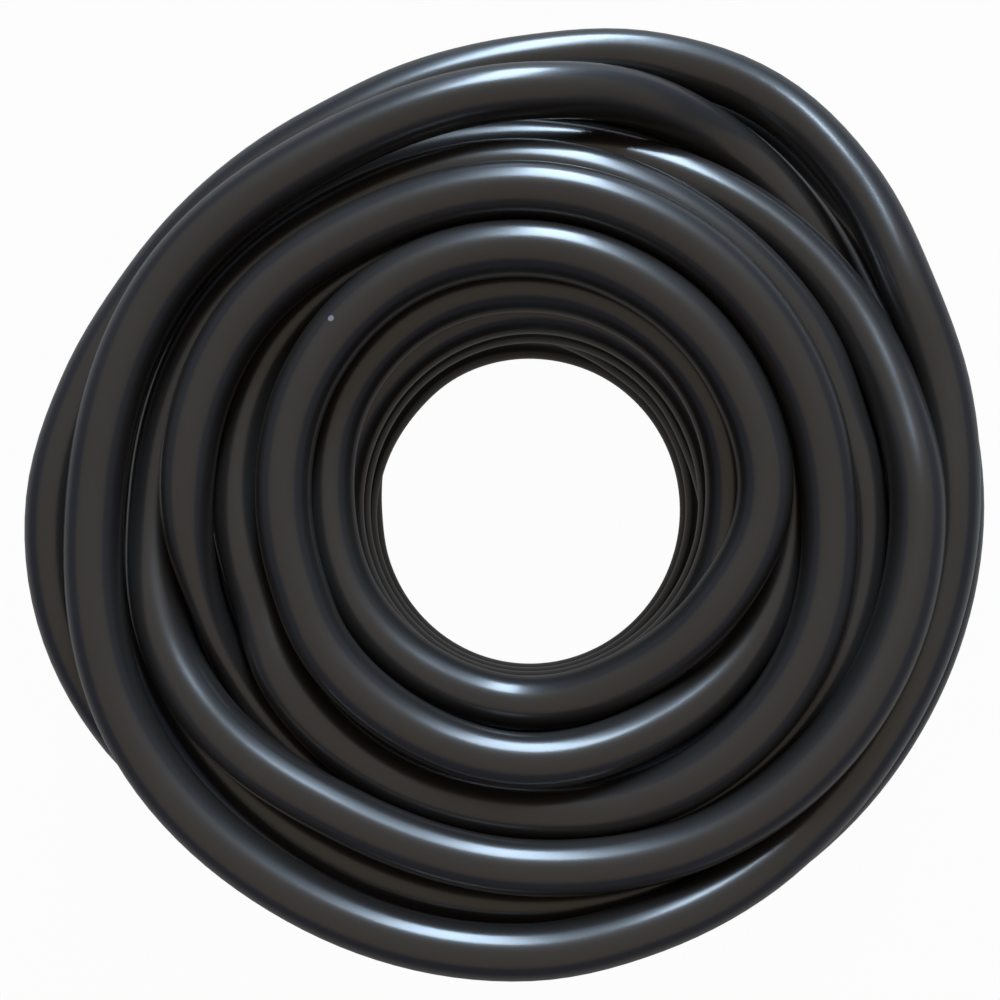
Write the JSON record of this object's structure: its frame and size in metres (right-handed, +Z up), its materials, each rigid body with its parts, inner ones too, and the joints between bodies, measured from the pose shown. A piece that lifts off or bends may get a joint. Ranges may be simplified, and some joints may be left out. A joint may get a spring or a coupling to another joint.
{
  "type": "soaker hose",
  "caption": "Black porous rubber hose wound in a loose flat coil with an open middle, with a swivel nut on its inlet end and a screw cap on its outlet end.",
  "frame": {"origin": "on the ground, in the middle of the coil's outline", "axes": "+Z up along the coil's axis, +X to the right and +Y away from a person who looks down on it"},
  "size_m": [0.302, 0.2928, 0.0989],
  "materials": {
    "hose_rubber": "matt black porous recycled rubber with a soft sheen",
    "fitting_plastic": "moulded black plastic",
    "sleeve_metal": "plain rolled sleeve",
    "washer_rubber": "smooth black rubber",
    "restrictor_plastic": "natural white plastic"
  },
  "bodies": {
    "hose": {"hose_winding": "hose_rubber", "hose_core": "hose_rubber", "hose_inlet_end": "hose_rubber", "hose_outlet_end": "hose_rubber", "inlet_stem": "fitting_plastic", "inlet_sleeve": "sleeve_metal", "inlet_washer": "washer_rubber", "flow_restrictor": "restrictor_plastic", "outlet_stem": "fitting_plastic", "outlet_sleeve": "sleeve_metal"},
    "inlet_nut": {"inlet_nut": "fitting_plastic"},
    "cap_washer": {"cap_washer": "washer_rubber"},
    "end_cap": {"end_cap": "fitting_plastic"}
  },
  "joints": [
    {"name": "nut_turn", "type": "hinge", "parent": "hose", "child": "inlet_nut", "pos_m": [-0.07404, -0.12725, 0.017], "axis": [-0.9903, 0.1392, 0], "continuous": true},
    {"name": "cap_slide", "type": "slide", "parent": "hose", "child": "cap_washer", "axis": [0.0349, -0.9994, 0], "range_m": [0, 0.00995]},
    {"name": "cap_turn", "type": "hinge", "parent": "cap_washer", "child": "end_cap", "pos_m": [-0.12871, -0.06504, 0.017], "axis": [0.0349, -0.9994, 0], "range_deg": [0, 1620]}
  ],
  "couplings": [
    {"joint": "cap_slide", "follows": "cap_turn", "m_per_rad": 0.00035157}
  ]
}
